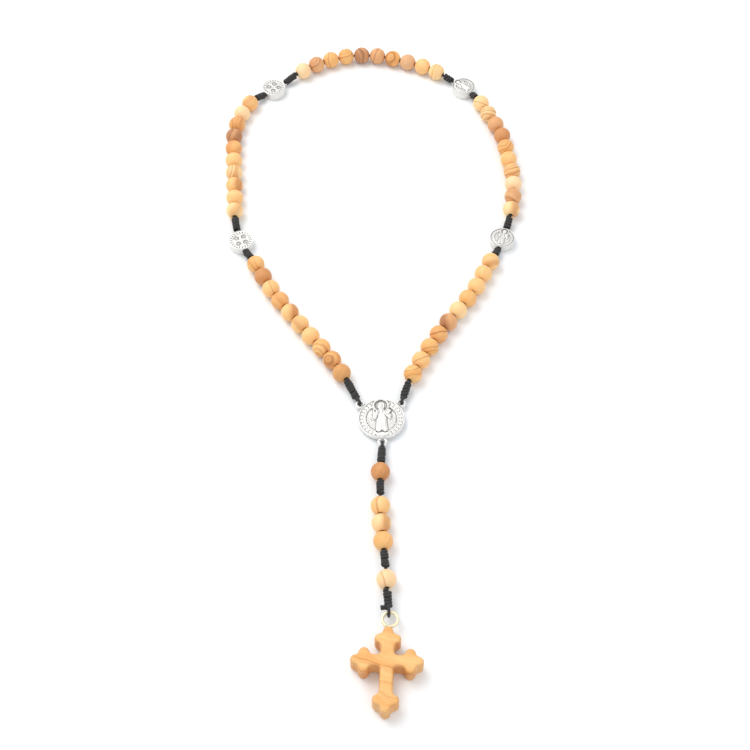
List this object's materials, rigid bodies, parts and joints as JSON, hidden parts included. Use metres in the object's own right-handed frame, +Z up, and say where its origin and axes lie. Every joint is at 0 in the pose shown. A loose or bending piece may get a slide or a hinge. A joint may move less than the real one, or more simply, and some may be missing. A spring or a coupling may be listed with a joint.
{
  "type": "rosary",
  "caption": "Corded loop of turned wooden beads with round metal medals, knots between the groups, and a short pendant that ends in a budded wooden cross.",
  "frame": {"origin": "middle of the centre medal's flat back, on the table the rosary lies on", "axes": "+Y up the loop from the cross to the top decade, +X to the right, +Z up from the table"},
  "size_m": [0.1412, 0.3544, 0.008],
  "materials": {
    "olive_wood": "satin, oiled",
    "black_cord": "braided, slightly waxed",
    "silver_metal": "bright with darkened recesses",
    "pale_brass": "bright"
  },
  "bodies": {
    "centre": {"centre_medal": "silver_metal"},
    "left_lower_strand": {"left_lower_cord": "black_cord"},
    "left_upper_strand": {"left_upper_cord": "black_cord"},
    "top_strand": {"top_cord": "black_cord"},
    "right_lower_strand": {"right_lower_cord": "black_cord"},
    "right_upper_strand": {"right_upper_cord": "black_cord"},
    "pendant_upper_strand": {"pendant_upper_cord": "black_cord"},
    "pendant_middle_strand": {"pendant_middle_cord": "black_cord"},
    "pendant_lower_strand": {"pendant_lower_cord": "black_cord"},
    "cross": {"wooden_cross": "olive_wood", "screw_eye": "pale_brass"},
    "left_lower_bead_1": {"left_lower_bead_1": "olive_wood"},
    "left_lower_bead_2": {"left_lower_bead_2": "olive_wood"},
    "left_lower_bead_3": {"left_lower_bead_3": "olive_wood"},
    "left_lower_beads_4_5": {"left_lower_beads_4_5": "olive_wood"},
    "left_lower_bead_6": {"left_lower_bead_6": "olive_wood"},
    "left_lower_beads_7_8": {"left_lower_beads_7_8": "olive_wood"},
    "left_lower_bead_9": {"left_lower_bead_9": "olive_wood"},
    "left_lower_bead_10": {"left_lower_bead_10": "olive_wood"},
    "left_lower_medal_bead": {"left_lower_medal_bead": "silver_metal"},
    "left_upper_bead_1": {"left_upper_bead_1": "olive_wood"},
    "left_upper_bead_2": {"left_upper_bead_2": "olive_wood"},
    "left_upper_bead_3": {"left_upper_bead_3": "olive_wood"},
    "left_upper_beads_4_5": {"left_upper_beads_4_5": "olive_wood"},
    "left_upper_bead_6": {"left_upper_bead_6": "olive_wood"},
    "left_upper_beads_7_8": {"left_upper_beads_7_8": "olive_wood"},
    "left_upper_bead_9": {"left_upper_bead_9": "olive_wood"},
    "left_upper_bead_10": {"left_upper_bead_10": "olive_wood"},
    "left_upper_medal_bead": {"left_upper_medal_bead": "silver_metal"},
    "top_bead_1": {"top_bead_1": "olive_wood"},
    "top_bead_2": {"top_bead_2": "olive_wood"},
    "top_bead_3": {"top_bead_3": "olive_wood"},
    "top_beads_4_5": {"top_beads_4_5": "olive_wood"},
    "top_bead_6": {"top_bead_6": "olive_wood"},
    "top_beads_7_8": {"top_beads_7_8": "olive_wood"},
    "top_bead_9": {"top_bead_9": "olive_wood"},
    "top_bead_10": {"top_bead_10": "olive_wood"},
    "right_lower_bead_1": {"right_lower_bead_1": "olive_wood"},
    "right_lower_bead_2": {"right_lower_bead_2": "olive_wood"},
    "right_lower_bead_3": {"right_lower_bead_3": "olive_wood"},
    "right_lower_beads_4_5": {"right_lower_beads_4_5": "olive_wood"},
    "right_lower_bead_6": {"right_lower_bead_6": "olive_wood"},
    "right_lower_beads_7_8": {"right_lower_beads_7_8": "olive_wood"},
    "right_lower_bead_9": {"right_lower_bead_9": "olive_wood"},
    "right_lower_bead_10": {"right_lower_bead_10": "olive_wood"},
    "right_lower_medal_bead": {"right_lower_medal_bead": "silver_metal"},
    "right_upper_bead_1": {"right_upper_bead_1": "olive_wood"},
    "right_upper_bead_2": {"right_upper_bead_2": "olive_wood"},
    "right_upper_bead_3": {"right_upper_bead_3": "olive_wood"},
    "right_upper_beads_4_5": {"right_upper_beads_4_5": "olive_wood"},
    "right_upper_bead_6": {"right_upper_bead_6": "olive_wood"},
    "right_upper_beads_7_8": {"right_upper_beads_7_8": "olive_wood"},
    "right_upper_bead_9": {"right_upper_bead_9": "olive_wood"},
    "right_upper_bead_10": {"right_upper_bead_10": "olive_wood"},
    "right_upper_medal_bead": {"right_upper_medal_bead": "silver_metal"},
    "pendant_bead_first": {"pendant_bead_first": "olive_wood"},
    "pendant_bead_second": {"pendant_bead_second": "olive_wood"},
    "pendant_bead_third": {"pendant_bead_third": "olive_wood"},
    "pendant_bead_fourth": {"pendant_bead_fourth": "olive_wood"},
    "pendant_bead_fifth": {"pendant_bead_fifth": "olive_wood"}
  },
  "joints": [
    {"name": "loop_spread", "type": "hinge", "parent": "centre", "child": "left_lower_strand", "pos_m": [-0.00886, 0.00717, 0.0022], "axis": [0, 0, 1], "range_deg": [-8, 8]},
    {"name": "left_upper_bend", "type": "hinge", "parent": "left_lower_strand", "child": "left_upper_strand", "pos_m": [-0.06595, 0.1027, 0.002], "axis": [0, 0, 1], "range_deg": [-15.3, 15.3]},
    {"name": "top_bend", "type": "hinge", "parent": "left_upper_strand", "child": "top_strand", "pos_m": [-0.0484, 0.2009, 0.002], "axis": [0, 0, 1], "range_deg": [-7.3, 7.3]},
    {"name": "right_lower_swing", "type": "hinge", "parent": "centre", "child": "right_lower_strand", "pos_m": [0.00834, 0.00777, 0.0022], "axis": [0, 0, 1], "range_deg": [-8.5, 8.5]},
    {"name": "right_upper_bend", "type": "hinge", "parent": "right_lower_strand", "child": "right_upper_strand", "pos_m": [0.05765, 0.1042, 0.002], "axis": [0, 0, 1], "range_deg": [-17.4, 17.4]},
    {"name": "pendant_swing", "type": "hinge", "parent": "centre", "child": "pendant_upper_strand", "pos_m": [0.0004, -0.01139, 0.0022], "axis": [0, 0, 1], "range_deg": [-60, 60]},
    {"name": "pendant_lift", "type": "hinge", "parent": "pendant_upper_strand", "child": "pendant_middle_strand", "pos_m": [-0.00055, -0.03815, 0.00395], "axis": [1, 0, 0], "range_deg": [-35, 35]},
    {"name": "pendant_bend", "type": "hinge", "parent": "pendant_middle_strand", "child": "pendant_lower_strand", "pos_m": [0.00145, -0.07095, 0.00395], "axis": [0, 0, 1], "range_deg": [-35, 35]},
    {"name": "cross_swing", "type": "hinge", "parent": "pendant_lower_strand", "child": "cross", "pos_m": [0.00255, -0.08935, 0.00395], "axis": [1, 0, 0], "range_deg": [-80, 80]},
    {"name": "left_lower_medal_bead_spin", "type": "hinge", "parent": "left_lower_strand", "child": "left_lower_medal_bead", "pos_m": [-0.06385, 0.09695, 0.002], "axis": [-0.3424, 0.9395, 0], "continuous": true},
    {"name": "left_upper_medal_bead_spin", "type": "hinge", "parent": "left_upper_strand", "child": "left_upper_medal_bead", "pos_m": [-0.053, 0.1969, 0.002], "axis": [0.758, 0.6522, 0], "continuous": true},
    {"name": "right_lower_medal_bead_spin", "type": "hinge", "parent": "right_lower_strand", "child": "right_lower_medal_bead", "pos_m": [0.0556, 0.0985, 0.002], "axis": [0.3375, 0.9413, 0], "continuous": true},
    {"name": "right_upper_medal_bead_spin", "type": "hinge", "parent": "right_upper_strand", "child": "right_upper_medal_bead", "pos_m": [0.0415, 0.1977, 0.002], "axis": [-0.6887, 0.725, 0], "continuous": true},
    {"name": "pendant_bead_first_spin", "type": "hinge", "parent": "pendant_upper_strand", "child": "pendant_bead_first", "pos_m": [-0.00051, -0.02683, 0.00395], "axis": [-0.0487, -0.9988, 0], "continuous": true},
    {"name": "pendant_bead_second_spin", "type": "hinge", "parent": "pendant_middle_strand", "child": "pendant_bead_second", "pos_m": [-0.00055, -0.0427, 0.00395], "axis": [0.0118, -0.9999, 0], "continuous": true},
    {"name": "pendant_bead_third_spin", "type": "hinge", "parent": "pendant_middle_strand", "child": "pendant_bead_third", "pos_m": [-0.00017, -0.05069, 0.00395], "axis": [0.0873, -0.9962, 0], "continuous": true},
    {"name": "pendant_bead_fourth_spin", "type": "hinge", "parent": "pendant_middle_strand", "child": "pendant_bead_fourth", "pos_m": [0.0005, -0.05866, 0.00395], "axis": [0.0766, -0.9971, 0], "continuous": true},
    {"name": "pendant_bead_fifth_spin", "type": "hinge", "parent": "pendant_lower_strand", "child": "pendant_bead_fifth", "pos_m": [0.0017, -0.0754, 0.00395], "axis": [0.0487, -0.9988, 0], "continuous": true},
    {"name": "left_lower_bead_1_spin", "type": "hinge", "parent": "left_lower_strand", "child": "left_lower_bead_1", "pos_m": [-0.01694, 0.02239, 0.00395], "axis": [-0.5118, 0.8591, 0], "continuous": true},
    {"name": "left_lower_bead_2_spin", "type": "hinge", "parent": "left_lower_strand", "child": "left_lower_bead_2", "pos_m": [-0.02114, 0.02919, 0.00395], "axis": [-0.5515, 0.8342, 0], "continuous": true},
    {"name": "left_lower_bead_3_spin", "type": "hinge", "parent": "left_lower_strand", "child": "left_lower_bead_3", "pos_m": [-0.02581, 0.03569, 0.00395], "axis": [-0.6144, 0.789, 0], "continuous": true},
    {"name": "left_lower_beads_4_5_spin", "type": "hinge", "parent": "left_lower_strand", "child": "left_lower_beads_4_5", "pos_m": [-0.03069, 0.04203, 0.00395], "axis": [-0.5935, 0.8048, 0], "continuous": true},
    {"name": "left_lower_bead_6_spin", "type": "hinge", "parent": "left_lower_strand", "child": "left_lower_bead_6", "pos_m": [-0.04009, 0.05498, 0.00395], "axis": [-0.5774, 0.8165, 0], "continuous": true},
    {"name": "left_lower_beads_7_8_spin", "type": "hinge", "parent": "left_lower_strand", "child": "left_lower_beads_7_8", "pos_m": [-0.04467, 0.06153, 0.00395], "axis": [-0.5471, 0.8371, 0], "continuous": true},
    {"name": "left_lower_bead_9_spin", "type": "hinge", "parent": "left_lower_strand", "child": "left_lower_bead_9", "pos_m": [-0.05284, 0.07527, 0.00395], "axis": [-0.4587, 0.8886, 0], "continuous": true},
    {"name": "left_lower_bead_10_spin", "type": "hinge", "parent": "left_lower_strand", "child": "left_lower_bead_10", "pos_m": [-0.05645, 0.08241, 0.00395], "axis": [-0.4472, 0.8944, 0], "continuous": true},
    {"name": "left_upper_bead_1_spin", "type": "hinge", "parent": "left_upper_strand", "child": "left_upper_bead_1", "pos_m": [-0.06779, 0.1146, 0.00395], "axis": [-0.0483, 0.9988, 0], "continuous": true},
    {"name": "left_upper_bead_2_spin", "type": "hinge", "parent": "left_upper_strand", "child": "left_upper_bead_2", "pos_m": [-0.06822, 0.12259, 0.00395], "axis": [-0.0642, 0.9979, 0], "continuous": true},
    {"name": "left_upper_bead_3_spin", "type": "hinge", "parent": "left_upper_strand", "child": "left_upper_bead_3", "pos_m": [-0.06883, 0.13057, 0.00395], "axis": [-0.0825, 0.9966, 0], "continuous": true},
    {"name": "left_upper_beads_4_5_spin", "type": "hinge", "parent": "left_upper_strand", "child": "left_upper_beads_4_5", "pos_m": [-0.06946, 0.13854, 0.00395], "axis": [-0.0708, 0.9975, 0], "continuous": true},
    {"name": "left_upper_bead_6_spin", "type": "hinge", "parent": "left_upper_strand", "child": "left_upper_bead_6", "pos_m": [-0.07053, 0.15451, 0.00395], "axis": [-0.0581, 0.9983, 0], "continuous": true},
    {"name": "left_upper_beads_7_8_spin", "type": "hinge", "parent": "left_upper_strand", "child": "left_upper_beads_7_8", "pos_m": [-0.07083, 0.1625, 0.00395], "axis": [0.1224, 0.9925, 0], "continuous": true},
    {"name": "left_upper_bead_9_spin", "type": "hinge", "parent": "left_upper_strand", "child": "left_upper_bead_9", "pos_m": [-0.06776, 0.17814, 0.00395], "axis": [0.3482, 0.9374, 0], "continuous": true},
    {"name": "left_upper_bead_10_spin", "type": "hinge", "parent": "left_upper_strand", "child": "left_upper_bead_10", "pos_m": [-0.06427, 0.18533, 0.00395], "axis": [0.4789, 0.8779, 0], "continuous": true},
    {"name": "top_bead_1_spin", "type": "hinge", "parent": "top_strand", "child": "top_bead_1", "pos_m": [-0.03874, 0.20835, 0.00395], "axis": [0.8075, 0.5898, 0], "continuous": true},
    {"name": "top_bead_2_spin", "type": "hinge", "parent": "top_strand", "child": "top_bead_2", "pos_m": [-0.03215, 0.21287, 0.00395], "axis": [0.8609, 0.5087, 0], "continuous": true},
    {"name": "top_bead_3_spin", "type": "hinge", "parent": "top_strand", "child": "top_bead_3", "pos_m": [-0.02496, 0.21637, 0.00395], "axis": [0.9308, 0.3654, 0], "continuous": true},
    {"name": "top_beads_4_5_spin", "type": "hinge", "parent": "top_strand", "child": "top_beads_4_5", "pos_m": [-0.01735, 0.21881, 0.00395], "axis": [0.9937, 0.112, 0], "continuous": true},
    {"name": "top_bead_6_spin", "type": "hinge", "parent": "top_strand", "child": "top_bead_6", "pos_m": [-0.00145, 0.2192, 0.00395], "axis": [0.9863, -0.1649, 0], "continuous": true},
    {"name": "top_beads_7_8_spin", "type": "hinge", "parent": "top_strand", "child": "top_beads_7_8", "pos_m": [0.00631, 0.21725, 0.00395], "axis": [0.9452, -0.3264, 0], "continuous": true},
    {"name": "top_bead_9_spin", "type": "hinge", "parent": "top_strand", "child": "top_bead_9", "pos_m": [0.02123, 0.21152, 0.00395], "axis": [0.9055, -0.4244, 0], "continuous": true},
    {"name": "top_bead_10_spin", "type": "hinge", "parent": "top_strand", "child": "top_bead_10", "pos_m": [0.02815, 0.20752, 0.00395], "axis": [0.8337, -0.5522, 0], "continuous": true},
    {"name": "right_lower_bead_1_spin", "type": "hinge", "parent": "right_lower_strand", "child": "right_lower_bead_1", "pos_m": [0.01347, 0.02187, 0.00395], "axis": [0.4418, 0.8971, 0], "continuous": true},
    {"name": "right_lower_bead_2_spin", "type": "hinge", "parent": "right_lower_strand", "child": "right_lower_bead_2", "pos_m": [0.01706, 0.02902, 0.00395], "axis": [0.4626, 0.8866, 0], "continuous": true},
    {"name": "right_lower_bead_3_spin", "type": "hinge", "parent": "right_lower_strand", "child": "right_lower_bead_3", "pos_m": [0.0209, 0.03603, 0.00395], "axis": [0.4977, 0.8674, 0], "continuous": true},
    {"name": "right_lower_beads_4_5_spin", "type": "hinge", "parent": "right_lower_strand", "child": "right_lower_beads_4_5", "pos_m": [0.02498, 0.04292, 0.00395], "axis": [0.5493, 0.8356, 0], "continuous": true},
    {"name": "right_lower_bead_6_spin", "type": "hinge", "parent": "right_lower_strand", "child": "right_lower_bead_6", "pos_m": [0.03392, 0.05619, 0.00395], "axis": [0.5638, 0.8259, 0], "continuous": true},
    {"name": "right_lower_beads_7_8_spin", "type": "hinge", "parent": "right_lower_strand", "child": "right_lower_beads_7_8", "pos_m": [0.03839, 0.06282, 0.00395], "axis": [0.522, 0.8529, 0], "continuous": true},
    {"name": "right_lower_bead_9_spin", "type": "hinge", "parent": "right_lower_strand", "child": "right_lower_bead_9", "pos_m": [0.04596, 0.07688, 0.00395], "axis": [0.4208, 0.9072, 0], "continuous": true},
    {"name": "right_lower_bead_10_spin", "type": "hinge", "parent": "right_lower_strand", "child": "right_lower_bead_10", "pos_m": [0.04952, 0.08404, 0.00395], "axis": [0.4603, 0.8878, 0], "continuous": true},
    {"name": "right_upper_bead_1_spin", "type": "hinge", "parent": "right_upper_strand", "child": "right_upper_bead_1", "pos_m": [0.06064, 0.11549, 0.00395], "axis": [0.1694, 0.9855, 0], "continuous": true},
    {"name": "right_upper_bead_2_spin", "type": "hinge", "parent": "right_upper_strand", "child": "right_upper_bead_2", "pos_m": [0.06185, 0.1234, 0.00395], "axis": [0.1138, 0.9935, 0], "continuous": true},
    {"name": "right_upper_bead_3_spin", "type": "hinge", "parent": "right_upper_strand", "child": "right_upper_bead_3", "pos_m": [0.06243, 0.13138, 0.00395], "axis": [0.0444, 0.999, 0], "continuous": true},
    {"name": "right_upper_beads_4_5_spin", "type": "hinge", "parent": "right_upper_strand", "child": "right_upper_beads_4_5", "pos_m": [0.06225, 0.13937, 0.00395], "axis": [-0.1461, 0.9893, 0], "continuous": true},
    {"name": "right_upper_bead_6_spin", "type": "hinge", "parent": "right_upper_strand", "child": "right_upper_bead_6", "pos_m": [0.06008, 0.15521, 0.00395], "axis": [-0.1022, 0.9948, 0], "continuous": true},
    {"name": "right_upper_beads_7_8_spin", "type": "hinge", "parent": "right_upper_strand", "child": "right_upper_beads_7_8", "pos_m": [0.0588, 0.1631, 0.00395], "axis": [-0.3527, 0.9358, 0], "continuous": true},
    {"name": "right_upper_bead_9_spin", "type": "hinge", "parent": "right_upper_strand", "child": "right_upper_bead_9", "pos_m": [0.05276, 0.1779, 0.00395], "axis": [-0.4018, 0.9157, 0], "continuous": true},
    {"name": "right_upper_bead_10_spin", "type": "hinge", "parent": "right_upper_strand", "child": "right_upper_bead_10", "pos_m": [0.04955, 0.18523, 0.00395], "axis": [-0.402, 0.9156, 0], "continuous": true}
  ],
  "couplings": [
    {"joint": "left_upper_bend", "follows": "loop_spread", "ratio": -1.8508},
    {"joint": "top_bend", "follows": "loop_spread", "ratio": 0.8508},
    {"joint": "right_lower_swing", "follows": "loop_spread", "ratio": -1},
    {"joint": "right_upper_bend", "follows": "loop_spread", "ratio": 2.1078}
  ]
}
